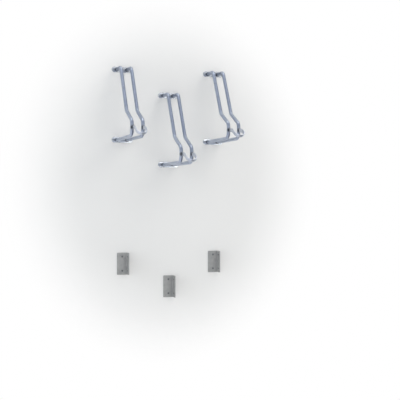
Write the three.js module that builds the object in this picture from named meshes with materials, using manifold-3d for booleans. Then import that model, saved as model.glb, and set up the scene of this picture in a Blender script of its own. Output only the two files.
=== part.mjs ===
import * as THREE from "three";
import { mergeVertices } from "three/addons/utils/BufferGeometryUtils.js";
import Module from "manifold-3d";

// Two tier rack of three upright frames, in millimetres, +Z up.
// All pieces are fixed to the plane y = 0 and stand out from it towards -Y.
// The origin is the centre of the middle rack's top plate, on its back face.
// A "reach" is a distance out from the plane y = 0, a "drop" a distance down.

// The set: the middle rack is the lower tier, its neighbours the upper tier
const rackPitch = 350;
const tierStep = 175;

// Clearances shared by all pieces
const seatGap = 0.3;
const cutOverrun = 1;

// Round bars, two to a rack
const barDiameter = 25;
const barSpacing = 77;
const stubReach = 118;
const kneeReach = 284;
const kneeDrop = 326;
const shinReach = 430;
const shinDrop = 81;
const uprightLength = 102;
const barBendRadius = 45;
const barSides = 20;
const barBendSteps = 5;

// Bolts and washers of the plates
const boltDiameter = 10;
const boltHeadDiameter = 17.5;
const boltHeadHeight = 5.5;
const boltHeadRim = 1.2;
const boltSocketWidth = 6;
const boltSocketDepth = 3;
const boltSocketWall = 1.2;
const boltHoleClearance = 0.5;
const washerDiameter = 20;
const washerThickness = 2;
const washerToBar = 3;
const boltSides = 16;
const boltDomeSteps = 4;
const socketSides = 6;

// Plates, flat bar with round ends
const plateLength = 156;
const plateHeight = 40;
const plateThickness = 6;
const plateEndSteps = 12;

// Hoop, a flat strip on edge, bent to a U and curved down at the front
const hoopStripWidth = 25;
const hoopStripThickness = 5;
const hoopBelowShin = 36;
const hoopLevelRun = 20;
const hoopArmRun = 106;
const hoopDipRadius = 130;
const hoopArmSteps = 8;
const hoopFrontSteps = 14;

// Angle, a folded plate far below each rack
const angleDrop = 1407;
const angleHeight = 160;
const angleWidth = 77;
const angleReach = 58;
const angleThickness = 5;
const angleFoldRadius = 4;
const angleCornerRadius = 5;
const angleHoleInset = 28.5;
const angleSideHoleDiameter = 12;
const angleArcSteps = 5;

// Countersunk screws of the angle
const screwDiameter = 8;
const screwHeadShare = 0.7;
const screwSocketWidth = 5;
const screwSocketDepth = 2;
const screwHoleClearance = 0.4;
const screwSides = 16;

// Sizes that follow from the ones above
const barRadius = barDiameter / 2;
const rackDrop = kneeDrop + shinDrop + uprightLength;
const boltOffset = barSpacing / 2 + barRadius + washerToBar + washerDiameter / 2;
const plateEndRadius = plateHeight / 2;
const plateEndOffset = plateLength / 2 - plateEndRadius;
const boltHoleRadius = boltDiameter / 2 + boltHoleClearance;
const hoopHalfSpan = (barSpacing - hoopStripThickness) / 2;
const hoopTopDrop = kneeDrop + shinDrop + hoopBelowShin;
const barFrontReach = shinReach + barRadius;
const angleHoleSpacing = angleHeight - 2 * angleHoleInset;
const screwHeadHeight = angleThickness * screwHeadShare;
const screwHeadRadius = screwDiameter / 2 + screwHeadHeight;

const zincSteel = { color: 0x9aa5b8, roughness: 0.42, metalness: 0.9 };
const dullSteel = { color: 0x9a9da2, roughness: 0.5, metalness: 0.85 };
const boltSteel = { color: 0xb4b8bf, roughness: 0.35, metalness: 0.95 };

const wasm = await Module();
wasm.setup();

function toSolid(geometry) {
  const bare = geometry.clone();
  bare.deleteAttribute("normal");
  bare.deleteAttribute("uv");
  const merged = mergeVertices(bare);
  const vertProperties = new Float32Array(merged.attributes.position.array);
  const triVerts = new Uint32Array(merged.index.array);
  return new wasm.Manifold(new wasm.Mesh({ numProp: 3, vertProperties, triVerts }));
}

function toGeometry(solid) {
  const mesh = solid.getMesh();
  const geometry = new THREE.BufferGeometry();
  geometry.setAttribute("position", new THREE.BufferAttribute(mesh.vertProperties, mesh.numProp));
  geometry.setIndex(new THREE.BufferAttribute(mesh.triVerts, 1));
  geometry.computeVertexNormals();
  return geometry;
}

function cut(geometry, tools) {
  let solid = toSolid(geometry);
  for (const tool of tools) solid = solid.subtract(toSolid(tool));
  return toGeometry(solid);
}

function keepInside(geometry, tools) {
  let solid = toSolid(geometry);
  for (const tool of tools) solid = solid.intersect(toSolid(tool));
  return toGeometry(solid);
}

// A run of stations, each with a point, a direction and the way its section faces,
// so that a section can be drawn along it with rings only where the run bends
class StationRun extends THREE.Curve {
  constructor(stations) {
    super();
    this.stations = stations;
  }

  station(u) {
    return this.stations[Math.round(u * (this.stations.length - 1))];
  }

  getPointAt(u, target = new THREE.Vector3()) {
    return target.copy(this.station(u).point);
  }

  getTangentAt(u, target = new THREE.Vector3()) {
    return target.copy(this.station(u).direction);
  }

  computeFrenetFrames() {
    const tangents = this.stations.map((s) => s.direction.clone());
    const normals = this.stations.map((s) => s.facing.clone());
    const binormals = this.stations.map((s) => s.direction.clone().cross(s.facing));
    return { tangents, normals, binormals };
  }
}

function sweep(section, stations) {
  return new THREE.ExtrudeGeometry(section, {
    steps: stations.length - 1,
    extrudePath: new StationRun(stations),
  });
}

// The outline of a regular polygon or circle
function roundOutline(radius, sides, turn = 0) {
  const points = [];
  for (let i = 0; i < sides; i += 1) {
    const angle = turn + (2 * Math.PI * i) / sides;
    points.push(new THREE.Vector2(radius * Math.cos(angle), radius * Math.sin(angle)));
  }
  return points;
}

function rectangleOutline(width, height) {
  return [
    new THREE.Vector2(-width / 2, -height / 2),
    new THREE.Vector2(width / 2, -height / 2),
    new THREE.Vector2(width / 2, height / 2),
    new THREE.Vector2(-width / 2, height / 2),
  ];
}

// A flat shape drawn in x and z becomes a slab that stands out from the plane y = 0
function slab(shape, thickness) {
  const geometry = new THREE.ExtrudeGeometry(shape, { depth: thickness, bevelEnabled: false });
  return geometry.rotateX(Math.PI / 2);
}

// A profile of radius and reach, turned about an axis along the reach
function turned(profile, sides) {
  return new THREE.LatheGeometry(profile, sides).rotateX(Math.PI);
}

// A straight path through the given corners, with every corner rounded in the plane x = const
function roundedStations(corners, radius, steps) {
  const facing = new THREE.Vector3(1, 0, 0);
  const stations = [];
  corners.forEach((corner, i) => {
    const inward = i > 0 ? corner.clone().sub(corners[i - 1]) : null;
    const outward = i < corners.length - 1 ? corners[i + 1].clone().sub(corner) : null;
    if (!inward || !outward) {
      const direction = (inward ?? outward).normalize();
      stations.push({ point: corner.clone(), direction, facing });
      return;
    }
    const room = Math.min(inward.length(), outward.length()) / 2;
    inward.normalize();
    outward.normalize();
    const turn = inward.angleTo(outward);
    const setback = Math.min(radius * Math.tan(turn / 2), room);
    const bend = setback / Math.tan(turn / 2);
    const axis = inward.clone().cross(outward).normalize();
    const towardsCentre = axis.clone().cross(inward);
    const centre = corner.clone().addScaledVector(inward, -setback).addScaledVector(towardsCentre, bend);
    for (let step = 0; step <= steps; step += 1) {
      const angle = (turn * step) / steps;
      const arm = towardsCentre.clone().negate().applyAxisAngle(axis, angle);
      const direction = inward.clone().applyAxisAngle(axis, angle);
      stations.push({ point: centre.clone().addScaledVector(arm, bend), direction, facing });
    }
  });
  return stations;
}

// One bar: out of the top plate, down and out, farther out, down, and level back to the bottom plate
function barGeometry(radius) {
  const rootReach = plateThickness + seatGap;
  const corners = [
    [rootReach, 0],
    [stubReach, 0],
    [kneeReach, kneeDrop],
    [shinReach, kneeDrop + shinDrop],
    [shinReach, rackDrop],
    [rootReach, rackDrop],
  ].map(([reach, drop]) => new THREE.Vector3(0, -reach, -drop));
  const section = new THREE.Shape(roundOutline(radius, barSides));
  return sweep(section, roundedStations(corners, barBendRadius, barBendSteps));
}

// A plate: flat bar with half round ends, and a bolt hole in each end
function wallPlateGeometry() {
  const points = [];
  for (const side of [1, -1]) {
    for (let step = 0; step <= plateEndSteps; step += 1) {
      const halfTurn = Math.PI * (step / plateEndSteps - 1 / 2);
      const angle = side > 0 ? halfTurn : halfTurn + Math.PI;
      const x = side * plateEndOffset + plateEndRadius * Math.cos(angle);
      points.push(new THREE.Vector2(x, plateEndRadius * Math.sin(angle)));
    }
  }
  const shape = new THREE.Shape(points);
  for (const side of [1, -1]) {
    const rim = roundOutline(boltHoleRadius, boltSides);
    shape.holes.push(new THREE.Path(rim.map((p) => new THREE.Vector2(p.x + side * boltOffset, p.y))));
  }
  return slab(shape, plateThickness);
}

function washerGeometry() {
  const inner = boltHoleRadius;
  const outer = washerDiameter / 2;
  return turned(
    [
      new THREE.Vector2(inner, 0),
      new THREE.Vector2(outer, 0),
      new THREE.Vector2(outer, washerThickness),
      new THREE.Vector2(inner, washerThickness),
      new THREE.Vector2(inner, 0),
    ],
    boltSides,
  );
}

function socketCornerRadius(width) {
  return width / 2 / Math.cos(Math.PI / socketSides);
}

// The hexagon socket in a head whose face is at the given reach
function socketTool(width, depth, faceReach) {
  const shape = new THREE.Shape(roundOutline(socketCornerRadius(width), socketSides));
  return slab(shape, depth + cutOverrun).translate(0, depth - faceReach, 0);
}

// A button head bolt that ends just short of the plane y = 0, its head resting on the washer
function boltGeometry() {
  const shank = boltDiameter / 2;
  const head = boltHeadDiameter / 2;
  const seat = plateThickness + washerThickness + 2 * seatGap;
  const profile = [
    new THREE.Vector2(0, seatGap),
    new THREE.Vector2(shank, seatGap),
    new THREE.Vector2(shank, seat),
    new THREE.Vector2(head, seat),
    new THREE.Vector2(head, seat + boltHeadRim),
  ];
  const flat = socketCornerRadius(boltSocketWidth) + boltSocketWall;
  for (let step = 1; step <= boltDomeSteps; step += 1) {
    const angle = ((Math.PI / 2) * step) / boltDomeSteps;
    const radius = flat + (head - flat) * Math.cos(angle);
    const rise = (boltHeadHeight - boltHeadRim) * Math.sin(angle);
    profile.push(new THREE.Vector2(radius, seat + boltHeadRim + rise));
  }
  profile.push(new THREE.Vector2(0, seat + boltHeadHeight));
  const tool = socketTool(boltSocketWidth, boltSocketDepth, seat + boltHeadHeight);
  return cut(turned(profile, boltSides), [tool]);
}

// A point on the hoop's strip: x across, a run along the strip's own surface from the bars' front
// faces, and a depth square to its upper edge. The strip is level at first and then dips.
function hoopFrame(run) {
  const turn = Math.max(run - hoopLevelRun, 0) / hoopDipRadius;
  const level = Math.min(run, hoopLevelRun);
  const up = new THREE.Vector3(0, -Math.sin(turn), Math.cos(turn));
  const along = new THREE.Vector3(0, -Math.cos(turn), -Math.sin(turn));
  const centre = new THREE.Vector3(0, -(barFrontReach + level), -hoopTopDrop - hoopDipRadius);
  return { centre, up, along };
}

function hoopStation(x, run, acrossX, acrossRun) {
  const { centre, up, along } = hoopFrame(run);
  const across = new THREE.Vector3(1, 0, 0);
  const point = centre.addScaledVector(up, hoopDipRadius - hoopStripWidth / 2).setX(x);
  const direction = across.clone().multiplyScalar(acrossX).addScaledVector(along, acrossRun);
  const facing = across.clone().multiplyScalar(-acrossRun).addScaledVector(along, acrossX);
  return { point, direction, facing };
}

// The hoop: one arm out from the left bar, round the front, and back to the right bar.
// Its ends are shaped to the bars' round faces.
function hoopGeometry() {
  const stations = [];
  const armAt = (step) => (hoopArmRun + barRadius) * (step / hoopArmSteps) - barRadius;
  for (let step = 0; step < hoopArmSteps; step += 1) {
    stations.push(hoopStation(-hoopHalfSpan, armAt(step), 0, 1));
  }
  for (let step = 0; step <= hoopFrontSteps; step += 1) {
    const angle = Math.PI * (step / hoopFrontSteps);
    const x = -hoopHalfSpan * Math.cos(angle);
    const run = hoopArmRun + hoopHalfSpan * Math.sin(angle);
    stations.push(hoopStation(x, run, Math.sin(angle), Math.cos(angle)));
  }
  for (let step = hoopArmSteps - 1; step >= 0; step -= 1) {
    stations.push(hoopStation(hoopHalfSpan, armAt(step), 0, -1));
  }
  const section = new THREE.Shape(rectangleOutline(hoopStripThickness, hoopStripWidth));
  const clearBar = barGeometry(barRadius + seatGap);
  const leftBar = clearBar.clone().translate(-barSpacing / 2, 0, 0);
  const rightBar = clearBar.clone().translate(barSpacing / 2, 0, 0);
  return cut(sweep(section, stations), [leftBar, rightBar]);
}

// A quarter turn of points about a centre, between two angles
function arcPoints(x, y, radius, from, to) {
  const points = [];
  for (let step = 0; step <= angleArcSteps; step += 1) {
    const angle = from + ((to - from) * step) / angleArcSteps;
    points.push(new THREE.Vector2(x + radius * Math.cos(angle), y + radius * Math.sin(angle)));
  }
  return points;
}

// The folded section of the angle, x across the rack and y along its reach
function angleSection() {
  const edge = angleWidth / 2;
  const inner = edge - angleThickness;
  const outerFold = angleFoldRadius + angleThickness;
  return new THREE.Shape([
    new THREE.Vector2(-edge, 0),
    ...arcPoints(edge - outerFold, -outerFold, outerFold, Math.PI / 2, 0),
    new THREE.Vector2(edge, -angleReach),
    new THREE.Vector2(inner, -angleReach),
    ...arcPoints(edge - outerFold, -outerFold, angleFoldRadius, 0, Math.PI / 2),
    new THREE.Vector2(-edge, -angleThickness),
  ]);
}

// A block with two rounded corners on its low side, used to round the free corners of a leaf
function leafOutline(low, high) {
  const top = angleHeight / 2;
  const r = angleCornerRadius;
  return new THREE.Shape([
    ...arcPoints(low + r, r - top, r, Math.PI, 1.5 * Math.PI),
    new THREE.Vector2(high, -top),
    new THREE.Vector2(high, top),
    ...arcPoints(low + r, top - r, r, Math.PI / 2, Math.PI),
  ]);
}

function angleGeometry() {
  const edge = angleWidth / 2;
  const folded = new THREE.ExtrudeGeometry(angleSection(), { depth: angleHeight, bevelEnabled: false });
  folded.translate(0, 0, -angleHeight / 2);
  const backLeaf = slab(leafOutline(-edge, edge + cutOverrun), angleReach + 2 * cutOverrun);
  backLeaf.translate(0, cutOverrun, 0);
  const sideLeaf = slab(leafOutline(-angleReach, cutOverrun), angleWidth + 2 * cutOverrun);
  sideLeaf.rotateZ(Math.PI / 2).translate(-edge - cutOverrun, 0, 0);
  const trimmed = keepInside(folded, [backLeaf, sideLeaf]);
  const tools = [];
  for (const side of [1, -1]) {
    const height = (side * angleHoleSpacing) / 2;
    tools.push(screwHoleTool().translate(0, 0, height));
    tools.push(sideHoleTool().translate(0, 0, height));
  }
  return cut(trimmed, tools);
}

// The space of one countersunk screw and its clearance, open at both faces of the leaf
function screwHoleTool() {
  const shank = screwDiameter / 2 + screwHoleClearance;
  const head = screwHeadRadius + screwHoleClearance;
  return turned(
    [
      new THREE.Vector2(0, -cutOverrun),
      new THREE.Vector2(shank, -cutOverrun),
      new THREE.Vector2(shank, angleThickness - screwHeadHeight),
      new THREE.Vector2(head, angleThickness),
      new THREE.Vector2(head, angleThickness + cutOverrun),
      new THREE.Vector2(0, angleThickness + cutOverrun),
    ],
    screwSides,
  );
}

// A plain hole through the middle of the leaf that stands out
function sideHoleTool() {
  const shape = new THREE.Shape(roundOutline(angleSideHoleDiameter / 2, screwSides));
  const tool = slab(shape, angleThickness + 2 * cutOverrun);
  return tool.rotateZ(Math.PI / 2).translate(angleWidth / 2 - angleThickness - cutOverrun, -angleReach / 2, 0);
}

function screwGeometry() {
  const shank = screwDiameter / 2;
  const tool = socketTool(screwSocketWidth, screwSocketDepth, angleThickness);
  const profile = [
    new THREE.Vector2(0, seatGap),
    new THREE.Vector2(shank, seatGap),
    new THREE.Vector2(shank, angleThickness - screwHeadHeight + seatGap),
    new THREE.Vector2(screwHeadRadius - seatGap, angleThickness),
    new THREE.Vector2(0, angleThickness),
  ];
  return cut(turned(profile, screwSides), [tool]);
}

function piece(name, geometry, finish, x, drop, reach = 0) {
  const mesh = new THREE.Mesh(geometry.clone(), new THREE.MeshStandardMaterial(finish));
  mesh.name = name;
  mesh.position.set(x, -reach, -drop);
  return mesh;
}

const shapes = {
  bar: barGeometry(barRadius),
  plate: wallPlateGeometry(),
  washer: washerGeometry(),
  bolt: boltGeometry(),
  hoop: hoopGeometry(),
  angle: angleGeometry(),
  screw: screwGeometry(),
};

// One rack with its angle below it, placed by the centre of its top plate
function makeRack(name, x, z) {
  const rack = new THREE.Group();
  rack.position.set(x, 0, z);
  for (const [side, sign] of [["left", -1], ["right", 1]]) {
    rack.add(piece(`${name}_${side}_bar`, shapes.bar, zincSteel, (sign * barSpacing) / 2, 0));
  }
  for (const [level, drop] of [["top", 0], ["bottom", rackDrop]]) {
    rack.add(piece(`${name}_${level}_wall_plate`, shapes.plate, zincSteel, 0, drop));
    for (const [side, sign] of [["left", -1], ["right", 1]]) {
      const seat = plateThickness + seatGap;
      const place = sign * boltOffset;
      rack.add(piece(`${name}_${level}_${side}_washer`, shapes.washer, boltSteel, place, drop, seat));
      rack.add(piece(`${name}_${level}_${side}_bolt`, shapes.bolt, boltSteel, place, drop));
    }
  }
  rack.add(piece(`${name}_tyre_hoop`, shapes.hoop, zincSteel, 0, 0));
  rack.add(piece(`${name}_wheel_angle`, shapes.angle, dullSteel, 0, angleDrop));
  for (const [level, sign] of [["upper", -1], ["lower", 1]]) {
    const drop = angleDrop + (sign * angleHoleSpacing) / 2;
    rack.add(piece(`${name}_wheel_angle_${level}_screw`, shapes.screw, boltSteel, 0, drop));
  }
  return rack;
}

const group = new THREE.Group();
group.add(makeRack("left_rack", -rackPitch, tierStep));
group.add(makeRack("middle_rack", 0, 0));
group.add(makeRack("right_rack", rackPitch, tierStep));

export default group;
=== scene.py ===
import math

import bmesh
import bpy
from mathutils import Matrix, Vector, noise


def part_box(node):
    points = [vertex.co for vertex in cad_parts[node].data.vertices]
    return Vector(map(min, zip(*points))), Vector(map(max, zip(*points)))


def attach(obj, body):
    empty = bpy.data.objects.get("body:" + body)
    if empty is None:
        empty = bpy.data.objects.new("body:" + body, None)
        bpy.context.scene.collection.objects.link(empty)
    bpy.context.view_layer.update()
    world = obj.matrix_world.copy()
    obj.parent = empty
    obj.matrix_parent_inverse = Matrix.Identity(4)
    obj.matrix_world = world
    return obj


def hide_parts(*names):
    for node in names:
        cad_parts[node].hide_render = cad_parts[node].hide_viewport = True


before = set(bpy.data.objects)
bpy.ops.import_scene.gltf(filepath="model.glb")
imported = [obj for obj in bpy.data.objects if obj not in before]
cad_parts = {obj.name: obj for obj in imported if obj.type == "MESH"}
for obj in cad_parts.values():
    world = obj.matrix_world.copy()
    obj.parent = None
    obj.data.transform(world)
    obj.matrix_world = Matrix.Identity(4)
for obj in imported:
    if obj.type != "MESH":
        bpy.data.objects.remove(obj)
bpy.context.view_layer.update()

# Three upright racks in two tiers, in metres, +Z up, all fixed to the plane y = 0.
# A "reach" is a distance out from that plane, towards -Y, and a "drop" a distance down.
MM = 0.001
RACKS = ("left_rack", "middle_rack", "right_rack")
SIDES = (("left", -1), ("right", 1))

# Bars: corners of the bent path, the height over which the painted sheen on the base run fades, and how
# finely all is drawn
BAR_RADIUS = 12.5 * MM
BAR_OFFSET = 38.5 * MM
STUB_REACH = 118 * MM
KNEE_REACH = 284 * MM
KNEE_DROP = 326 * MM
SHIN_REACH = 430 * MM
SHIN_DROP = 81 * MM
UPRIGHT = 102 * MM
RACK_DROP = KNEE_DROP + SHIN_DROP + UPRIGHT
BEND_RADIUS = 45 * MM
PAINTED_SHEEN_FADE = 30 * MM
BAR_SIDES = 40
BEND_STEPS = 20
RING_SPACING = 6 * MM

# Plates, washers and bolts
PLATE_THICKNESS = 6 * MM
PLATE_RADIUS = 20 * MM
PLATE_END_OFFSET = 58 * MM
BOLT_OFFSET = 64 * MM
BOLT_HOLE_RADIUS = 5.5 * MM
BOLT_RADIUS = 5 * MM
HEAD_RADIUS = 8.75 * MM
HEAD_HEIGHT = 5.5 * MM
HEAD_RIM = 1.2 * MM
HEAD_FLAT_RADIUS = 4.6 * MM
HEX_ACROSS = 6 * MM
HEX_DEPTH = 3 * MM
DOME_STEPS = 12
WASHER_RADIUS = 10 * MM
WASHER_THICKNESS = 2 * MM
EDGE_RADIUS = 0.8 * MM
FINE_EDGE = 0.35 * MM
EDGE_STEPS = 3
EDGE_RING = 1.5
SEAT_GAP = 0.3 * MM

# Hoop: a strip on edge, level at the bars and curving down to the front
STRIP_WIDTH = 25 * MM
STRIP_THICKNESS = 5 * MM
STRIP_EDGE = 1.1 * MM
HOOP_TOP_DROP = KNEE_DROP + SHIN_DROP + 36 * MM
HOOP_LEVEL_RUN = 20 * MM
HOOP_ARM_RUN = 106 * MM
HOOP_DIP_RADIUS = 130 * MM
HOOP_HALF_SPAN = BAR_OFFSET - STRIP_THICKNESS / 2
HOOP_ROOT_RUN = -BAR_RADIUS / 2
BAR_FRONT_REACH = SHIN_REACH + BAR_RADIUS
ARM_STEPS = 36
FRONT_STEPS = 56

# Angle, and its countersunk screws
ANGLE_DROP = 1407 * MM
ANGLE_HEIGHT = 160 * MM
ANGLE_WIDTH = 77 * MM
ANGLE_REACH = 58 * MM
ANGLE_THICKNESS = 5 * MM
ANGLE_FOLD = 4 * MM
ANGLE_CORNER = 5 * MM
ANGLE_HOLE_SPACING = 103 * MM
SIDE_HOLE_RADIUS = 6 * MM
# How dark the painted shade on the walls of the side leaf's holes is.
HOLE_PAINTED_SHADE = 0.6
SCREW_RADIUS = 4 * MM
SCREW_HEAD_RADIUS = 7.2 * MM
SCREW_HEAD_HEIGHT = 3.5 * MM
SCREW_HEX_ACROSS = 5 * MM
SCREW_HEX_DEPTH = 2 * MM
SCREW_CLEARANCE = 0.4 * MM
CORNER_STEPS = 8
FOLD_STEPS = 12
ROUND_STEPS = 48

# Welds: the beads' sizes. A root lies a little inside the steel that it joins.
BEAD_SIZE = 2.5 * MM
BEAD_PITCH = 2.6 * MM
BEAD_RIPPLE = 0.10
BEAD_UNEVENNESS = 0.16
BEAD_UNEVEN_LENGTH = 6 * MM
BEAD_BULGE = 0.18
RING_BEAD_BITE = 0.6 * MM
RING_BEAD_SINK = 0.4 * MM
RING_BEAD_SIDES = 160
RING_BEAD_STEPS = 6
LINE_BEAD_SHARE = 0.72
LINE_BEAD_TAPER = 6
LINE_BEAD_LEAST = 0.0004
LINE_BEAD_SINK = 0.6 * MM
LINE_BEAD_INSET = 1.0 * MM
LINE_BEAD_STEPS = 44
LINE_BEAD_SIDES = 16
SEED_STEP = 10.0

# How far a weld's mark spreads over the steel round it: a heat stain, darkened further as painted shade
# where the parts meet. The mark at a joint lies a little above its middle.
FOOT_STAIN_AND_SHADE_SPREAD = {"left": 14 * MM, "right": 18 * MM}
FAINT_FOOT = ("left_rack", "bottom", "left")
FAINT_STAIN_AND_SHADE_SPREAD = 7 * MM
JOINT_STAIN_AND_SHADE_SPREAD = 13 * MM
STRIP_STAIN_AND_SHADE_SPREAD = 8 * MM
JOINT_STAIN_AND_SHADE_LIFT = 0.1 * STRIP_WIDTH

# Shading: faces that meet at more than this angle, in degrees, keep a sharp edge
SHARP_ANGLE = 40.0
FASTENER_SHARP_ANGLE = 35.0
BEAD_SHARP_ANGLE = 60.0

# Zinc coat: scales are in waves per metre. A range says where a pattern, or a stain with painted shade,
# begins and is full, and a share how much of it shows.
WARP_SCALE = 60.0
WARP_REACH = 6 * MM
CRYSTAL_SHARE = 0.35
CLOUD_RANGE = (0.3, 0.7)
CLOUD_SHARES = (-0.1, 0.75)
GRAIN_SCALE = 900.0
GRAIN_RANGE = (0.35, 0.7)
GRAIN_SHARE = 0.12
SCUFF_SCALE = 26.0
SCUFF_RANGE = (0.56, 0.78)
SCUFF_SHARE = 0.3
SCUFF_COLOUR = (0.16, 0.17, 0.18)
# Straw and soot colours of the dark marks: weld heat stain, and painted shade at joints and in holes.
STRAW_AND_SHADE_RANGE = (0.05, 0.45)
STRAW_AND_SHADE_SHARE = 0.5
STRAW_AND_SHADE_COLOUR = (0.17, 0.15, 0.14)
SOOT_AND_SHADE_RANGE = (0.30, 0.75)
SOOT_AND_SHADE_SHARE = 0.92
SOOT_AND_SHADE_COLOUR = (0.04, 0.045, 0.055)
ROUGHNESS_SWING = 0.05
DENT_SCALE = 220.0
DENT_DEPTH = 0.25 * MM

# Stage: an upright pale backdrop right behind the plates, and a pale floor. Round STAGE_MIDDLE it stays
# grey out to one distance and is white from the next. A ray that meets it within TOUCHING passes through.
STAGE_COLOUR = (0.85, 0.845, 0.825)
STAGE_CLOUD_SCALE = 1.3
STAGE_CLOUD_SHADE = 0.98
STAGE_MIDDLE = (0.0, 0.0, -0.62)
STAGE_OVAL = (1.15, 1.0, 1.0)
STAGE_GREY_TO = 0.70
STAGE_WHITE_FROM = 1.40
TOUCHING = 2 * MM
BACKDROP_GAP = 0.5 * MM
STAGE_HALF_WIDTH = 7.0
STAGE_TOP = 4.0
STAGE_DEPTH = 9.0
FLOOR_HEIGHT = -2.3

# Lamps: a place, a width and height, a power in watts and a colour
LAMP_AIM = (0.0, -0.2, -0.5)
LAMPS = {
    "key": ((2.6, -4.2, 3.2), (3.8, 3.8), 112.0, (1.0, 0.955, 0.895)),
    "left_fill": ((-5.0, -1.1, 0.0), (1.6, 3.5), 78.0, (0.90, 0.95, 1.0)),
}

# Surroundings that light the steel and show in it. A range is where one of them fades in, along a unit
# direction's X for right, Y for behind and Z for the others.
LOW_LEFT_LIGHT = (0.80, 0.82, 0.90)
LOW_RIGHT_LIGHT = (0.02, 0.022, 0.027)
RIGHT_RANGE = (0.0, 0.3)
LEVEL_LIGHT = (0.57, 0.60, 0.64)
LEVEL_RANGE = (-0.28, -0.08)
HIGH_LIGHT = (0.27, 0.30, 0.38)
HIGH_RANGE = (0.35, 0.75)
BEHIND_LIGHT = (0.80, 0.82, 0.85)
BEHIND_RANGE = (0.0, 0.3)
NOT_LOW_RANGE = (-0.8, -0.5)
OVERHEAD_LIGHT = (2.4, 2.4, 2.4)
OVERHEAD_RANGE = (0.86, 0.93)
PANEL_LIGHT = (2.2, 2.2, 2.2)
PANEL_DIRECTION = (0.27, -0.96, 0.0)
PANEL_SPREAD = (0.21, 1.0, 0.135)

# Camera, as the photograph was taken: level, standing to the left of the racks
CAMERA_PLACE = (-1.8494, -6.0127, -0.770)
CAMERA_TURN = math.radians(19.24)
CAMERA_LENS = 76.5
SENSOR_WIDTH = 36.0


# Shader helpers

def new_material(name):
    material = bpy.data.materials.new(name)
    material.use_nodes = True
    material.node_tree.nodes.clear()
    return material, material.node_tree


def add_node(tree, kind, **settings):
    node = tree.nodes.new(kind)
    for key, value in settings.items():
        if key in node.inputs:
            node.inputs[key].default_value = value
        else:
            setattr(node, key, value)
    return node


def link(tree, source, target):
    tree.links.new(source, target)


def noise_value(tree, coordinate, scale, detail=3.0, roughness=0.55):
    texture = add_node(tree, "ShaderNodeTexNoise", Scale=scale, Detail=detail, Roughness=roughness)
    link(tree, coordinate, texture.inputs["Vector"])
    return texture.outputs["Fac"]


def remap(tree, value, low, high, to_low, to_high):
    node = add_node(tree, "ShaderNodeMapRange")
    for key, number in (("From Min", low), ("From Max", high), ("To Min", to_low), ("To Max", to_high)):
        node.inputs[key].default_value = number
    link(tree, value, node.inputs["Value"])
    return node.outputs["Result"]


def mix_colour(tree, factor, first, second):
    node = add_node(tree, "ShaderNodeMix", data_type="RGBA")
    for socket, value in ((node.inputs[0], factor), (node.inputs[6], first), (node.inputs[7], second)):
        if isinstance(value, bpy.types.NodeSocket):
            link(tree, value, socket)
        elif isinstance(value, (int, float)):
            socket.default_value = value
        else:
            socket.default_value = (*value, 1.0)
    return node.outputs[2]


def stretched(tree, coordinate, scale):
    node = add_node(tree, "ShaderNodeMapping")
    node.inputs["Scale"].default_value = scale
    link(tree, coordinate, node.inputs["Vector"])
    return node.outputs["Vector"]


def soft_step(tree, value, low, high):
    node = add_node(tree, "ShaderNodeMapRange", interpolation_type="SMOOTHSTEP")
    node.inputs["From Min"].default_value = low
    node.inputs["From Max"].default_value = high
    link(tree, value, node.inputs["Value"])
    return node.outputs["Result"]


def combine(tree, operation, first, second):
    node = add_node(tree, "ShaderNodeMath", operation=operation)
    for socket, value in zip(node.inputs, (first, second)):
        if isinstance(value, bpy.types.NodeSocket):
            link(tree, value, socket)
        else:
            socket.default_value = value
    return node.outputs["Value"]


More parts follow.
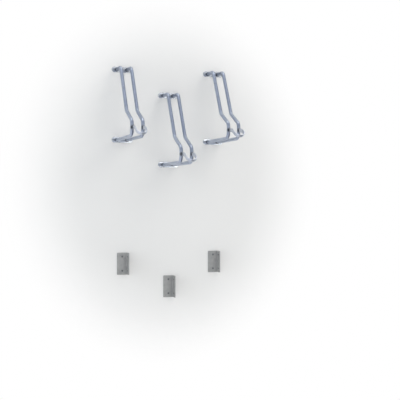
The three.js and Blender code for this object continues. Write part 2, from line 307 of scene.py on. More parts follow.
def zinc_material(name, light, dark, roughness, spangle, mottle,
                  stained_and_shaded=True, metallic=1.0, dents=0.35, rim=1.0):
    """Zinc coated steel: soft crystal patches, cloudy dulling, fine grain, scuffs and dark marks, partly
    heat stain and partly painted shade. spangle and mottle are the scales of the crystal patches and of
    the clouds. rim is how much of the light the coat keeps where a surface turns away, unless a painted
    sheen keeps it all."""
    material, tree = new_material(name)
    place = add_node(tree, "ShaderNodeNewGeometry").outputs["Position"]
    cells = add_node(tree, "ShaderNodeTexVoronoi", feature="SMOOTH_F1", Scale=spangle, Smoothness=0.5)
    warp = noise_value(tree, place, WARP_SCALE, 2.0)
    warped = add_node(tree, "ShaderNodeVectorMath", operation="ADD")
    shift = add_node(tree, "ShaderNodeVectorMath", operation="SCALE")
    link(tree, place, warped.inputs[0])
    combined = add_node(tree, "ShaderNodeCombineXYZ")
    for axis in ("X", "Y", "Z"):
        link(tree, warp, combined.inputs[axis])
    link(tree, combined.outputs["Vector"], shift.inputs[0])
    shift.inputs["Scale"].default_value = WARP_REACH
    link(tree, shift.outputs["Vector"], warped.inputs[1])
    link(tree, warped.outputs["Vector"], cells.inputs["Vector"])
    crystal = add_node(tree, "ShaderNodeSeparateColor")
    link(tree, cells.outputs["Color"], crystal.inputs["Color"])
    clouds = noise_value(tree, place, mottle, 4.0, 0.6)
    patches = add_node(tree, "ShaderNodeMath", operation="MULTIPLY_ADD")
    link(tree, crystal.outputs["Red"], patches.inputs[0])
    patches.inputs[1].default_value = CRYSTAL_SHARE
    link(tree, remap(tree, clouds, *CLOUD_RANGE, *CLOUD_SHARES), patches.inputs[2])
    colour = mix_colour(tree, patches.outputs["Value"], dark, light)
    grain = noise_value(tree, place, GRAIN_SCALE, 2.0)
    colour = mix_colour(tree, remap(tree, grain, *GRAIN_RANGE, 0.0, GRAIN_SHARE), colour, dark)
    scuff = noise_value(tree, place, SCUFF_SCALE, 3.0, 0.6)
    colour = mix_colour(tree, remap(tree, scuff, *SCUFF_RANGE, 0.0, SCUFF_SHARE), colour, SCUFF_COLOUR)
    dull, bright = roughness + ROUGHNESS_SWING, roughness - ROUGHNESS_SWING
    rough = remap(tree, clouds, *CLOUD_RANGE, dull, bright)
    # Dark marks, partly weld heat stain and partly painted shade: straw colour, then soot colour as the
    # level rises.
    if stained_and_shaded:
        burn_and_shade = add_node(tree, "ShaderNodeAttribute", attribute_name="stain_and_shade").outputs["Fac"]
        straw_and_shade = remap(tree, burn_and_shade, *STRAW_AND_SHADE_RANGE, 0.0, STRAW_AND_SHADE_SHARE)
        colour = mix_colour(tree, straw_and_shade, colour, STRAW_AND_SHADE_COLOUR)
        soot_and_shade = remap(tree, burn_and_shade, *SOOT_AND_SHADE_RANGE, 0.0, SOOT_AND_SHADE_SHARE)
        colour = mix_colour(tree, soot_and_shade, colour, SOOT_AND_SHADE_COLOUR)
    shader = add_node(tree, "ShaderNodeBsdfPrincipled", Metallic=metallic)
    # Painted sheen: where its level is 1 the grazing tint is full, so the base run reflects brighter than
    # the other bars.
    if rim < 1.0:
        painted_sheen = add_node(tree, "ShaderNodeAttribute", attribute_name="painted_sheen").outputs["Fac"]
        link(tree, remap(tree, painted_sheen, 0.0, 1.0, rim, 1.0), shader.inputs["Specular Tint"])
    link(tree, colour, shader.inputs["Base Color"])
    link(tree, rough, shader.inputs["Roughness"])
    bump = add_node(tree, "ShaderNodeBump", Strength=dents, Distance=DENT_DEPTH)
    link(tree, noise_value(tree, place, DENT_SCALE, 2.0), bump.inputs["Height"])
    link(tree, bump.outputs["Normal"], shader.inputs["Normal"])
    output = add_node(tree, "ShaderNodeOutputMaterial")
    link(tree, shader.outputs["BSDF"], output.inputs["Surface"])
    return material


def stage_material(name):
    """A pale matt surface that keeps shadows. Far from the racks it goes over to plain white for the
    camera. Rays that leave a piece and meet it at once pass through, so backs are lit from behind."""
    material, tree = new_material(name)
    place = add_node(tree, "ShaderNodeNewGeometry")
    rays = add_node(tree, "ShaderNodeLightPath")
    cloud = noise_value(tree, place.outputs["Position"], STAGE_CLOUD_SCALE, 2.0)
    darker = [c * STAGE_CLOUD_SHADE for c in STAGE_COLOUR]
    shade = mix_colour(tree, remap(tree, cloud, *CLOUD_RANGE, 0.0, 1.0), STAGE_COLOUR, darker)
    diffuse = add_node(tree, "ShaderNodeBsdfDiffuse")
    link(tree, shade, diffuse.inputs["Color"])
    white = add_node(tree, "ShaderNodeEmission", Color=(1.0, 1.0, 1.0, 1.0), Strength=1.0)
    offset = add_node(tree, "ShaderNodeVectorMath", operation="SUBTRACT")
    link(tree, place.outputs["Position"], offset.inputs[0])
    offset.inputs[1].default_value = STAGE_MIDDLE
    distance = add_node(tree, "ShaderNodeVectorMath", operation="LENGTH")
    link(tree, stretched(tree, offset.outputs["Vector"], STAGE_OVAL), distance.inputs[0])
    far = soft_step(tree, distance.outputs["Value"], STAGE_GREY_TO, STAGE_WHITE_FROM)
    whitened = add_node(tree, "ShaderNodeMixShader")
    link(tree, combine(tree, "MULTIPLY", far, rays.outputs["Is Camera Ray"]), whitened.inputs["Fac"])
    link(tree, diffuse.outputs["BSDF"], whitened.inputs[1])
    link(tree, white.outputs["Emission"], whitened.inputs[2])
    near = combine(tree, "LESS_THAN", rays.outputs["Ray Length"], TOUCHING)
    clear_side = combine(tree, "MAXIMUM", place.outputs["Backfacing"], near)
    clear = add_node(tree, "ShaderNodeBsdfTransparent")
    side = add_node(tree, "ShaderNodeMixShader")
    link(tree, clear_side, side.inputs["Fac"])
    link(tree, whitened.outputs["Shader"], side.inputs[1])
    link(tree, clear.outputs["BSDF"], side.inputs[2])
    output = add_node(tree, "ShaderNodeOutputMaterial")
    link(tree, side.outputs["Shader"], output.inputs["Surface"])
    return material


MATERIALS = {
    "zinc_steel": zinc_material(
        "bar_zinc", light=(0.52, 0.57, 0.675), dark=(0.43, 0.48, 0.585),
        roughness=0.335, spangle=95.0, mottle=9.0, dents=0.2, rim=0.72),
    # The hoop is the bars' zinc made lighter: painted light, for how brightly the strip's faces show.
    "hoop": zinc_material(
        "hoop_painted_light_zinc", light=(0.70, 0.73, 0.80), dark=(0.60, 0.64, 0.72),
        roughness=0.335, spangle=95.0, mottle=9.0, dents=0.2),
    "plate_steel": zinc_material(
        "plate_zinc", light=(0.78, 0.81, 0.84), dark=(0.70, 0.73, 0.77),
        roughness=0.17, spangle=80.0, mottle=14.0, dents=0.05),
    "angle_steel": zinc_material(
        "angle_zinc", light=(0.45, 0.45, 0.44), dark=(0.37, 0.37, 0.36),
        roughness=0.46, spangle=70.0, mottle=22.0, metallic=0.45),
    "bolt_steel": zinc_material(
        "bolt_zinc", light=(0.60, 0.63, 0.67), dark=(0.50, 0.53, 0.57),
        roughness=0.34, spangle=300.0, mottle=60.0, stained_and_shaded=False),
    "screw": zinc_material(
        "screw_zinc", light=(0.26, 0.27, 0.28), dark=(0.17, 0.175, 0.18),
        roughness=0.42, spangle=300.0, mottle=60.0, stained_and_shaded=False),
    "weld": zinc_material(
        "weld_metal", light=(0.20, 0.22, 0.26), dark=(0.09, 0.10, 0.12),
        roughness=0.45, spangle=400.0, mottle=180.0, stained_and_shaded=False),
}


# Mesh helpers

def ring_points(radius, sides):
    angles = [math.tau * i / sides for i in range(sides)]
    return [(radius * math.cos(angle), radius * math.sin(angle)) for angle in angles]


def hexagon(across):
    return ring_points(across / 2 / math.cos(math.pi / 6), 6)


def stadium(half_length, radius):
    steps = ROUND_STEPS // 2
    points = []
    for side in (1, -1):
        for step in range(steps + 1):
            angle = math.pi * (step / steps - 0.5) + (0 if side > 0 else math.pi)
            points.append((side * half_length + radius * math.cos(angle), radius * math.sin(angle)))
    return points


def rounded_rectangle(low, high, radius, steps):
    """Corner order: low right, high right, high left, low left."""
    points = []
    corners = (
        (high[0], low[1], 1, -1), (high[0], high[1], 1, 1),
        (low[0], high[1], -1, 1), (low[0], low[1], -1, -1),
    )
    for number, (x, y, right, up) in enumerate(corners):
        for step in range(steps + 1):
            angle = math.pi / 2 * (number - 1 + step / steps)
            across = x - right * radius + radius * math.cos(angle)
            upward = y - up * radius + radius * math.sin(angle)
            points.append((across, upward))
    return points


def add_ring(bm, points):
    verts = [bm.verts.new(p) for p in points]
    for a, b in zip(verts, verts[1:] + verts[:1]):
        bm.edges.new((a, b))
    return verts


def join_rings(bm, first, second):
    for i in range(len(first)):
        j = (i + 1) % len(first)
        bm.faces.new((first[i], first[j], second[j], second[i]))


def chain(bm, rings):
    """Rings of points joined one to the next. Returns the first and last rings' vertices."""
    made = [add_ring(bm, ring) for ring in rings]
    for first, second in zip(made, made[1:]):
        join_rings(bm, first, second)
    return made[0], made[-1]


def fill_between(bm, loops):
    """One flat face with holes: the first loop is the outline, the others are holes in it.
    Its faces are tagged, so that finish_mesh leaves them flat."""
    edges = []
    for loop in loops:
        for a, b in zip(loop, loop[1:] + loop[:1]):
            edges.append(bm.edges.get((a, b)))
    made = bmesh.ops.triangle_fill(bm, use_beauty=True, use_dissolve=False, edges=edges)
    for face in made["geom"]:
        if isinstance(face, bmesh.types.BMFace):
            face.tag = True


def edge_profile(thickness, edge, sign=1):
    """(inset, depth) pairs down a plate's rim, with both edges rounded. sign -1 is for a hole.
    The first and last pair bound a narrow flat ring, which keeps the flat face's shading flat."""
    profile = [(sign * edge * EDGE_RING, 0.0)]
    for step in range(EDGE_STEPS + 1):
        angle = math.pi / 2 * step / EDGE_STEPS
        profile.append((sign * edge * (1 - math.sin(angle)), edge * (1 - math.cos(angle))))
    back = [(inset, thickness - depth) for inset, depth in reversed(profile)]
    return profile + back


def finish_mesh(bm, name, place=None, sharp_angle=SHARP_ANGLE):
    """Sets the normals and shading and returns a mesh, its points passed through place(vector)."""
    if place:
        for vert in bm.verts:
            vert.co = place(vert.co)
    bmesh.ops.recalc_face_normals(bm, faces=bm.faces)
    for face in bm.faces:
        face.smooth = not face.tag
    mesh = bpy.data.meshes.new(name)
    bm.to_mesh(mesh)
    bm.free()
    mesh.set_sharp_from_angle(angle=math.radians(sharp_angle))
    return mesh


def capped_mesh(name, rings, sharp_angle=SHARP_ANGLE):
    """A solid through rings of points, closed by a flat face at each end."""
    bm = bmesh.new()
    first, last = chain(bm, rings)
    fill_between(bm, [first])
    fill_between(bm, [last])
    return finish_mesh(bm, name, sharp_angle=sharp_angle)


def add_piece(name, mesh, slot, node=None, material=None):
    piece = bpy.data.objects.new(name, mesh)
    bpy.context.scene.collection.objects.link(piece)
    mesh.materials.append(MATERIALS[material or slot])
    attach(piece, "root")
    if node:
        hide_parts(node)


def add_level(mesh, name, level_at):
    """Stores a level from 0 to 1 at each point of the steel: how dark its stain and painted shade are, or
    how strong its painted sheen is.
    """
    marks = mesh.attributes.new(name, "FLOAT", "POINT")
    for index, vert in enumerate(mesh.vertices):
        marks.data[index].value = level_at(vert.co)


def weld_heat_and_shade(welds):
    """The mark round the nearest weld: heat stain and painted shade. Each weld is a point and how far its
    mark spreads.
    """
    def level_at(point):
        gap = min((point - weld).length / spread for weld, spread in welds)
        return math.exp(-(gap ** 2))
    return level_at


# Bars

def rounded_path(corners, radius, steps, spacing):
    """(point, direction) stations along straight runs with rounded corners."""
    stations = [(corners[0], (corners[1] - corners[0]).normalized())]
    for before, corner, after in zip(corners, corners[1:], corners[2:]):
        inward = (corner - before).normalized()
        outward = (after - corner).normalized()
        turn = inward.angle(outward)
        axis = inward.cross(outward).normalized()
        setback = radius * math.tan(turn / 2)
        start = corner - inward * setback
        centre = start + axis.cross(inward) * radius
        stations += straight_run(stations[-1][0], start, inward, spacing)
        for step in range(1, steps + 1):
            swing = Matrix.Rotation(turn * step / steps, 3, axis)
            stations.append((centre + swing @ (start - centre), swing @ inward))
    last = (corners[-1] - corners[-2]).normalized()
    return stations + straight_run(stations[-1][0], corners[-1], last, spacing)


def straight_run(start, end, direction, spacing):
    count = max(1, round((end - start).length / spacing))
    return [(start.lerp(end, step / count), direction) for step in range(1, count + 1)]


def bar_path():
    root = PLATE_THICKNESS + SEAT_GAP
    corners = (
        (root, 0.0), (STUB_REACH, 0.0), (KNEE_REACH, KNEE_DROP), (SHIN_REACH, KNEE_DROP + SHIN_DROP),
        (SHIN_REACH, RACK_DROP), (root, RACK_DROP),
    )
    corners = [Vector((0.0, -reach, -drop)) for reach, drop in corners]
    return rounded_path(corners, BEND_RADIUS, BEND_STEPS, RING_SPACING)


def bar_mesh(name, origin, welds):
    across = Vector((1.0, 0.0, 0.0))
    circle = ring_points(BAR_RADIUS, BAR_SIDES)
    rings = []
    for point, direction in bar_path():
        lift = direction.cross(across)
        rings.append([origin + point + across * x + lift * y for x, y in circle])
    mesh = capped_mesh(name, rings)
    add_level(mesh, "stain_and_shade", weld_heat_and_shade(welds))
    base_top = origin.z - RACK_DROP + BEND_RADIUS

    # Painted sheen on the base run: full along it, fading out up to the top of its bends.
    def base_painted_sheen(point):
        return min(max((base_top - point.z) / PAINTED_SHEEN_FADE, 0.0), 1.0)

    add_level(mesh, "painted_sheen", base_painted_sheen)
    return mesh


# Hoop

def hoop_point(origin, x, run, depth):
    """A point on the hoop: x across, run along its dipping surface, depth below its upper edge."""
    turn = max(run - HOOP_LEVEL_RUN, 0.0) / HOOP_DIP_RADIUS
    level = min(run, HOOP_LEVEL_RUN)
    radius = HOOP_DIP_RADIUS - depth
    reach = BAR_FRONT_REACH + level + radius * math.sin(turn)
    drop = HOOP_TOP_DROP + HOOP_DIP_RADIUS - radius * math.cos(turn)
    return origin + Vector((x, -reach, -drop))


def hoop_centre_line():
    """(x, run, x direction, run direction) along the middle of the strip, from left bar to right bar."""
    length = HOOP_ARM_RUN - HOOP_ROOT_RUN
    arm = [HOOP_ROOT_RUN + length * step / ARM_STEPS for step in range(ARM_STEPS)]
    line = [(-HOOP_HALF_SPAN, run, 0.0, 1.0) for run in arm]
    for step in range(FRONT_STEPS + 1):
        angle = math.pi * step / FRONT_STEPS
        run = HOOP_ARM_RUN + HOOP_HALF_SPAN * math.sin(angle)
        line.append((-HOOP_HALF_SPAN * math.cos(angle), run, math.sin(angle), math.cos(angle)))
    line += [(HOOP_HALF_SPAN, run, 0.0, -1.0) for run in reversed(arm)]
    return line


def hoop_mesh(name, origin, welds):
    half = STRIP_THICKNESS / 2
    section = rounded_rectangle((-half, 0.0), (half, STRIP_WIDTH), STRIP_EDGE, EDGE_STEPS)
    rings = []
    for x, run, along_x, along_run in hoop_centre_line():
        ring = []
        for side, depth in section:
            ring.append(hoop_point(origin, x - side * along_run, run + side * along_x, depth))
        rings.append(ring)
    mesh = capped_mesh(name, rings)
    add_level(mesh, "stain_and_shade", weld_heat_and_shade(welds))
    return mesh


# Plates, washers, bolts and screws. Drawn flat with x across, y up and a depth from the front face back.

def flat_place(origin, front_reach):
    """Stands a flat drawing up on the rack, its front face at the given reach."""
    return lambda p: origin + Vector((p.x, -(front_reach - p.z), p.y))


def at_depth(points, depth, shift=(0.0, 0.0)):
    return [(x + shift[0], y + shift[1], depth) for x, y in points]


def round_rings(profile, middle=(0.0, 0.0)):
    """A circle for each (radius, depth) pair."""
    return [at_depth(ring_points(radius, ROUND_STEPS), depth, middle) for radius, depth in profile]


def hole_profile(radius, thickness):
    """(radius, depth) pairs down a hole with rounded edges."""
    return [(radius - inset, depth) for inset, depth in edge_profile(thickness, FINE_EDGE, sign=-1)]


def wall_plate_mesh(name, origin, welds):
    bm = bmesh.new()
    rim = [at_depth(stadium(PLATE_END_OFFSET, PLATE_RADIUS - inset), depth)
           for inset, depth in edge_profile(PLATE_THICKNESS, EDGE_RADIUS)]
    outline_front, outline_back = chain(bm, rim)
    fronts, backs = [outline_front], [outline_back]
    for _, sign in SIDES:
        profile = hole_profile(BOLT_HOLE_RADIUS, PLATE_THICKNESS)
        front, back = chain(bm, round_rings(profile, (sign * BOLT_OFFSET, 0.0)))
        fronts.append(front)
        backs.append(back)
    fill_between(bm, fronts)
    fill_between(bm, backs)
    mesh = finish_mesh(bm, name, flat_place(origin, PLATE_THICKNESS))
    add_level(mesh, "stain_and_shade", weld_heat_and_shade(welds))
    return mesh


def washer_mesh(name, origin):
    bm = bmesh.new()
    rim = [(WASHER_RADIUS - inset, depth) for inset, depth in edge_profile(WASHER_THICKNESS, FINE_EDGE)]
    outer_front, outer_back = chain(bm, round_rings(rim))
    inner_front, inner_back = chain(bm, round_rings(hole_profile(BOLT_HOLE_RADIUS, WASHER_THICKNESS)))
    fill_between(bm, [outer_front, inner_front])
    fill_between(bm, [outer_back, inner_back])
    return finish_mesh(bm, name, flat_place(origin, PLATE_THICKNESS + SEAT_GAP + WASHER_THICKNESS))


def socket_head_mesh(name, place, profile, hex_across, hex_depth):
    """A head and shank turned to (radius, depth) pairs, with a hexagon socket in the front face."""
    bm = bmesh.new()
    front, end = chain(bm, round_rings(profile))
    mouth = [
        at_depth(hexagon(hex_across + 2 * FINE_EDGE), 0.0), at_depth(hexagon(hex_across), FINE_EDGE),
        at_depth(hexagon(hex_across), hex_depth),
    ]
    lip, bottom = chain(bm, mouth)
    fill_between(bm, [front, lip])
    fill_between(bm, [bottom])
    fill_between(bm, [end])
    return finish_mesh(bm, name, place, FASTENER_SHARP_ANGLE)


def bolt_mesh(name, origin):
    seat = PLATE_THICKNESS + WASHER_THICKNESS + 2 * SEAT_GAP
    dome_height = HEAD_HEIGHT - HEAD_RIM
    profile = []
    for step in range(DOME_STEPS + 1):
        angle = math.pi / 2 * step / DOME_STEPS
        width = HEAD_FLAT_RADIUS + (HEAD_RADIUS - HEAD_FLAT_RADIUS) * math.sin(angle)
        profile.append((width, dome_height * (1 - math.cos(angle))))
    profile += [
        (HEAD_RADIUS, HEAD_HEIGHT - FINE_EDGE), (HEAD_RADIUS - FINE_EDGE, HEAD_HEIGHT),
        (BOLT_RADIUS, HEAD_HEIGHT), (BOLT_RADIUS, HEAD_HEIGHT + seat - SEAT_GAP),
    ]
    return socket_head_mesh(name, flat_place(origin, seat + HEAD_HEIGHT), profile, HEX_ACROSS, HEX_DEPTH)


def screw_mesh(name, origin):
    profile = [
        (SCREW_HEAD_RADIUS - SEAT_GAP - FINE_EDGE / 2, 0.0),
        (SCREW_HEAD_RADIUS - SEAT_GAP, FINE_EDGE / 2),
        (SCREW_RADIUS, SCREW_HEAD_HEIGHT - SEAT_GAP), (SCREW_RADIUS, ANGLE_THICKNESS - SEAT_GAP),
    ]
    place = flat_place(origin, ANGLE_THICKNESS)
    return socket_head_mesh(name, place, profile, SCREW_HEX_ACROSS, SCREW_HEX_DEPTH)


# Angle: a flat blank with rounded corners and holes, folded once

def angle_mesh(name, origin):
    half = ANGLE_WIDTH / 2
    fold_outer = ANGLE_FOLD + ANGLE_THICKNESS
    middle_radius = ANGLE_FOLD + ANGLE_THICKNESS / 2
    fold_start = half - fold_outer
    fold_length = middle_radius * math.pi / 2
    blank_end = fold_start + fold_length + ANGLE_REACH - fold_outer
    top = ANGLE_HEIGHT / 2

    def blank(inset):
        low, high = (-half + inset, -top + inset), (blank_end - inset, top - inset)
        return rounded_rectangle(low, high, ANGLE_CORNER - inset, CORNER_STEPS)

    bm = bmesh.new()
    rim = [at_depth(blank(inset), depth) for inset, depth in edge_profile(ANGLE_THICKNESS, EDGE_RADIUS)]
    outline_front, outline_back = chain(bm, rim)
    fronts, backs = [outline_front], [outline_back]
    head = SCREW_HEAD_RADIUS + SCREW_CLEARANCE
    shank = SCREW_RADIUS + SCREW_CLEARANCE
    countersink = [(head, 0.0), (shank, SCREW_HEAD_HEIGHT), (shank, ANGLE_THICKNESS)]
    plain = hole_profile(SIDE_HOLE_RADIUS, ANGLE_THICKNESS)
    side_place = fold_start + fold_length + ANGLE_REACH / 2 - fold_outer
    for x, profile in ((0.0, countersink), (side_place, plain)):
        for sign in (1, -1):
            front, back = chain(bm, round_rings(profile, (x, sign * ANGLE_HOLE_SPACING / 2)))
            fronts.append(front)
            backs.append(back)
    fill_between(bm, fronts)
    fill_between(bm, backs)
    for step in range(FOLD_STEPS + 1):
        cut = (fold_start + fold_length * step / FOLD_STEPS, 0.0, 0.0)
        geometry = bm.verts[:] + bm.edges[:] + bm.faces[:]
        bmesh.ops.bisect_plane(bm, geom=geometry, dist=1e-7, plane_co=cut, plane_no=(1.0, 0.0, 0.0))

    def fold(p):
        past = p.x - fold_start
        turn = min(max(past / middle_radius, 0.0), math.pi / 2)
        radius = ANGLE_FOLD + p.z
        x = fold_start + radius * math.sin(turn) if past > 0 else p.x
        reach = fold_outer - radius * math.cos(turn)
        if past > fold_length:
            reach += past - fold_length
        return origin + Vector((x, -reach, p.y))

    for face in bm.faces:
        inside = fold_start < face.calc_center_median().x < fold_start + fold_length
        face.tag = face.tag and not inside
    mesh = finish_mesh(bm, name, fold)
    holes = [origin + Vector((0.0, -ANGLE_REACH / 2, sign * ANGLE_HOLE_SPACING / 2)) for sign in (1, -1)]

    # Painted shade on the walls of the side leaf's holes.
    def hole_painted_shade(point):
        gap = min(math.hypot(point.y - hole.y, point.z - hole.z) for hole in holes)
        return HOLE_PAINTED_SHADE if gap < SIDE_HOLE_RADIUS + FINE_EDGE / 2 else 0.0

    add_level(mesh, "stain_and_shade", hole_painted_shade)
    return mesh


# Welds

def ripple(distance, seed):
    """The bead's size along its length: scales a welder leaves, a little uneven."""
    phase = math.tau * distance / BEAD_PITCH
    uneven = noise.noise(Vector((distance / BEAD_UNEVEN_LENGTH, seed, 0.0)))
    return 1.0 + BEAD_RIPPLE * math.cos(phase) + BEAD_UNEVENNESS * uneven


def ring_bead_mesh(name, origin, reach, seed):
    """A fillet weld all the way round a bar where it meets a plate."""
    bm = bmesh.new()
    rings = []
    for i in range(RING_BEAD_SIDES):
        angle = math.tau * i / RING_BEAD_SIDES
        size = BEAD_SIZE * ripple(angle * BAR_RADIUS, seed)
        out = Vector((math.cos(angle), 0.0, math.sin(angle)))
        inner = origin + out * (BAR_RADIUS - RING_BEAD_BITE) + Vector((0.0, -reach + RING_BEAD_SINK, 0.0))
        ring = [inner]
        for step in range(RING_BEAD_STEPS + 1):
            swing = math.pi / 2 * step / RING_BEAD_STEPS
            bulge = size * (1.0 - BEAD_BULGE + BEAD_BULGE * math.sin(2 * swing))
            lift = Vector((0.0, -bulge * math.sin(swing), 0.0))
            ring.append(inner + out * (bulge * math.cos(swing) + RING_BEAD_BITE) + lift)
        rings.append(ring)
    made = [add_ring(bm, ring) for ring in rings]
    for first, second in zip(made, made[1:] + made[:1]):
        join_rings(bm, first, second)
    return finish_mesh(bm, name, sharp_angle=BEAD_SHARP_ANGLE)


def line_bead_mesh(name, start, end, seed):
    """A short weld bead along a straight joint, with rounded ends."""
    length = (end - start).length
    direction = (end - start).normalized()
    side = direction.orthogonal().normalized()
    other = direction.cross(side)
    rings = []
    for i in range(LINE_BEAD_STEPS + 1):
        share = i / LINE_BEAD_STEPS
        taper = math.sqrt(max(1.0 - (2 * share - 1) ** LINE_BEAD_TAPER, LINE_BEAD_LEAST))
        size = LINE_BEAD_SHARE * BEAD_SIZE * ripple(length * share, seed) * taper
        centre = start + direction * (length * share)
        rings.append([centre + side * x + other * y for x, y in ring_points(size, LINE_BEAD_SIDES)])
    return capped_mesh(name, rings, BEAD_SHARP_ANGLE)


# One rack, placed by the centre of its top plate's back face

def foot_stain_and_shade(rack, level, side):
    """How far the mark of the weld at a bar's foot spreads: heat stain and painted shade. One foot is
    almost clean.
    """
    return FAINT_STAIN_AND_SHADE_SPREAD if (rack, level, side) == FAINT_FOOT else FOOT_STAIN_AND_SHADE_SPREAD[side]


def foot_place(place, sign):
    """The middle of a bar's foot on the front face of the plate at this place."""
    return place + Vector((sign * BAR_OFFSET, -PLATE_THICKNESS, 0.0))


def hoop_joint(origin, x):
    """The middle of the joint between the hoop and the front of a bar."""
    return origin + Vector((x, -BAR_FRONT_REACH, -HOOP_TOP_DROP - STRIP_WIDTH / 2))


def add_bar(rack, side, sign, origin, levels, seed):
    """One bar, with the beads round its two feet and down both faces of the strip that it carries."""
    bar = origin + Vector((sign * BAR_OFFSET, 0.0, 0.0))
    marks = [(foot_place(place, sign), foot_stain_and_shade(rack, level, side)) for level, place in levels]
    joint = hoop_joint(origin, sign * BAR_OFFSET)
    # The mark where the strip meets the bar is partly painted shade.
    marks.append((joint + Vector((0.0, 0.0, JOINT_STAIN_AND_SHADE_LIFT)), JOINT_STAIN_AND_SHADE_SPREAD))
    node = f"{rack}_{side}_bar"
    add_piece(f"{node}_bent", bar_mesh(node, bar, marks), "zinc_steel", node)
    for level, place in levels:
        name = f"{rack}_{level}_{side}_bar_weld"
        foot = Vector((place.x + sign * BAR_OFFSET, 0.0, place.z))
        mesh = ring_bead_mesh(name, foot, PLATE_THICKNESS, seed)
        add_piece(name, mesh, "zinc_steel", material="weld")
    for face, offset in (("outer", STRIP_THICKNESS / 2), ("inner", -STRIP_THICKNESS / 2)):
        x = HOOP_HALF_SPAN + offset
        reach = SHIN_REACH + math.sqrt(BAR_RADIUS ** 2 - (x - BAR_OFFSET) ** 2)
        top = origin + Vector((sign * x, -reach - LINE_BEAD_SINK, -HOOP_TOP_DROP - LINE_BEAD_INSET))
        bottom = top - Vector((0.0, 0.0, STRIP_WIDTH - 2 * LINE_BEAD_INSET))
        name = f"{rack}_hoop_{side}_{face}_weld"
        mesh = line_bead_mesh(name, top, bottom, seed + x)
        add_piece(name, mesh, "zinc_steel", material="weld")


def add_hoop(rack, origin):
    # The strip's marks at its joints: heat stain and painted shade.
    welds = [(hoop_joint(origin, sign * HOOP_HALF_SPAN), STRIP_STAIN_AND_SHADE_SPREAD) for _, sign in SIDES]
    node = f"{rack}_tyre_hoop"
    add_piece(f"{node}_bent", hoop_mesh(node, origin, welds), "zinc_steel", node, "hoop")


def add_wall_plate(rack, level, place):
    """One plate, with its two washers and bolts."""
    node = f"{rack}_{level}_wall_plate"
    # The plate's marks round the bars' feet: heat stain and painted shade.
    welds = [(foot_place(place, sign), foot_stain_and_shade(rack, level, side)) for side, sign in SIDES]
    add_piece(f"{node}_cut", wall_plate_mesh(node, place, welds), "plate_steel", node)
    for side, sign in SIDES:
        spot = place + Vector((sign * BOLT_OFFSET, 0.0, 0.0))
        node = f"{rack}_{level}_{side}_washer"
        add_piece(f"{node}_turned", washer_mesh(node, spot), "bolt_steel", node)
        node = f"{rack}_{level}_{side}_bolt"
        add_piece(f"{node}_turned", bolt_mesh(node, spot), "bolt_steel", node)


def add_wheel_angle(rack, place):
    """The angle, with its two countersunk screws."""
    node = f"{rack}_wheel_angle"
    add_piece(f"{node}_folded", angle_mesh(node, place), "angle_steel", node)
    for level, sign in (("upper", 1), ("lower", -1)):
        spot = place + Vector((0.0, 0.0, sign * ANGLE_HOLE_SPACING / 2))
        node = f"{rack}_wheel_angle_{level}_screw"
        add_piece(f"{node}_turned", screw_mesh(node, spot), "bolt_steel", node, "screw")


def make_rack(rack, seed):
    low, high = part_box(f"{rack}_top_wall_plate")
    origin = Vector(((low[0] + high[0]) / 2, 0.0, (low[2] + high[2]) / 2))
    levels = (("top", origin), ("bottom", origin - Vector((0.0, 0.0, RACK_DROP))))
    for number, (side, sign) in enumerate(SIDES):
        add_bar(rack, side, sign, origin, levels, seed + number)
    add_hoop(rack, origin)
    for level, place in levels:
        add_wall_plate(rack, level, place)
    add_wheel_angle(rack, origin - Vector((0.0, 0.0, ANGLE_DROP)))


for rack_number, rack_name in enumerate(RACKS):
    make_rack(rack_name, SEED_STEP * rack_number)


# Backdrop and floor

def add_stage_plane(name, corners, material):
    mesh = bpy.data.meshes.new(name)
    mesh.from_pydata(corners, [], [(0, 1, 2, 3)])
    mesh.materials.append(material)
    plane = bpy.data.objects.new(name, mesh)
    bpy.context.scene.collection.objects.link(plane)
    return plane


pale = stage_material("pale_stage")
add_stage_plane("backdrop", [
    (-STAGE_HALF_WIDTH, BACKDROP_GAP, FLOOR_HEIGHT), (STAGE_HALF_WIDTH, BACKDROP_GAP, FLOOR_HEIGHT),
    (STAGE_HALF_WIDTH, BACKDROP_GAP, STAGE_TOP), (-STAGE_HALF_WIDTH, BACKDROP_GAP, STAGE_TOP),
], pale)
floor = add_stage_plane("floor", [
    (-STAGE_HALF_WIDTH, -STAGE_DEPTH, FLOOR_HEIGHT), (STAGE_HALF_WIDTH, -STAGE_DEPTH, FLOOR_HEIGHT),
    (STAGE_HALF_WIDTH, STAGE_DEPTH, FLOOR_HEIGHT), (-STAGE_HALF_WIDTH, STAGE_DEPTH, FLOOR_HEIGHT),
], pale)
floor.visible_glossy = False


# Lights

def add_area_light(name, place, size, power, colour):
    lamp = bpy.data.lights.new(name, "AREA")
    lamp.shape = "RECTANGLE"
    lamp.size, lamp.size_y = size
    lamp.energy = power
    lamp.color = colour
    holder = bpy.data.objects.new(name, lamp)
    bpy.context.scene.collection.objects.link(holder)
    holder.location = place
    holder.rotation_euler = (Vector(LAMP_AIM) - Vector(place)).to_track_quat("-Z", "Y").to_euler()
    holder.visible_glossy = False


for lamp_name, lamp_settings in LAMPS.items():
    add_area_light(lamp_name, *lamp_settings)

world = bpy.data.worlds.new("studio")
bpy.context.scene.world = world
world.use_nodes = True
sky = world.node_tree
sky.nodes.clear()


def sky_band(direction, centre, width):
    """1 at a direction and 0 outside a soft oval round it."""
    offset = add_node(sky, "ShaderNodeVectorMath", operation="SUBTRACT")
    link(sky, direction, offset.inputs[0])
    offset.inputs[1].default_value = centre
    scaled = add_node(sky, "ShaderNodeVectorMath", operation="DIVIDE")
    link(sky, offset.outputs["Vector"], scaled.inputs[0])
    scaled.inputs[1].default_value = width
    length = add_node(sky, "ShaderNodeVectorMath", operation="LENGTH")
    link(sky, scaled.outputs["Vector"], length.inputs[0])
    return soft_step(sky, length.outputs["Value"], 1.0, 0.5)


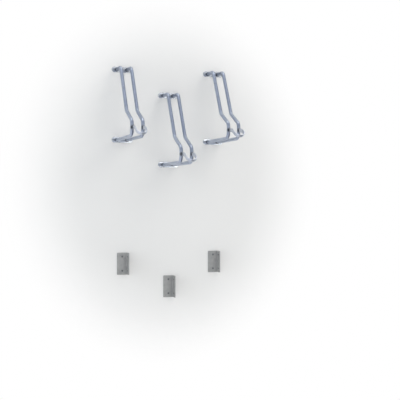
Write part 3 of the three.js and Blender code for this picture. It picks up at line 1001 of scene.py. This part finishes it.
way = add_node(sky, "ShaderNodeTexCoord").outputs["Generated"]
axes = add_node(sky, "ShaderNodeSeparateXYZ")
link(sky, way, axes.inputs["Vector"])
above = soft_step(sky, axes.outputs["Z"], *LEVEL_RANGE)
right = soft_step(sky, axes.outputs["X"], *RIGHT_RANGE)
below_light = mix_colour(sky, right, LOW_LEFT_LIGHT, LOW_RIGHT_LIGHT)
high = soft_step(sky, axes.outputs["Z"], *HIGH_RANGE)
above_light = mix_colour(sky, high, LEVEL_LIGHT, HIGH_LIGHT)
all_light = mix_colour(sky, above, below_light, above_light)
past_plane = soft_step(sky, axes.outputs["Y"], *BEHIND_RANGE)
not_low = soft_step(sky, axes.outputs["Z"], *NOT_LOW_RANGE)
behind = combine(sky, "MULTIPLY", past_plane, not_low)
all_light = mix_colour(sky, behind, all_light, BEHIND_LIGHT)
overhead = soft_step(sky, axes.outputs["Z"], *OVERHEAD_RANGE)
all_light = mix_colour(sky, overhead, all_light, OVERHEAD_LIGHT)
panel = sky_band(way, PANEL_DIRECTION, PANEL_SPREAD)
all_light = mix_colour(sky, panel, all_light, PANEL_LIGHT)
rays = add_node(sky, "ShaderNodeLightPath")
light = add_node(sky, "ShaderNodeBackground", Strength=1.0)
link(sky, all_light, light.inputs["Color"])
white = add_node(sky, "ShaderNodeBackground", Color=(1.0, 1.0, 1.0, 1.0), Strength=1.0)
choose = add_node(sky, "ShaderNodeMixShader")
world_output = add_node(sky, "ShaderNodeOutputWorld")
link(sky, rays.outputs["Is Camera Ray"], choose.inputs["Fac"])
link(sky, light.outputs["Background"], choose.inputs[1])
link(sky, white.outputs["Background"], choose.inputs[2])
link(sky, choose.outputs["Shader"], world_output.inputs["Surface"])

# Camera
camera_data = bpy.data.cameras.new("camera")
camera_data.lens = CAMERA_LENS
camera_data.sensor_width = SENSOR_WIDTH
camera = bpy.data.objects.new("camera", camera_data)
bpy.context.scene.collection.objects.link(camera)
camera.location = CAMERA_PLACE
camera.rotation_euler = (math.pi / 2, 0.0, -CAMERA_TURN)
bpy.context.scene.camera = camera
bpy.context.scene.view_settings.view_transform = "Standard"
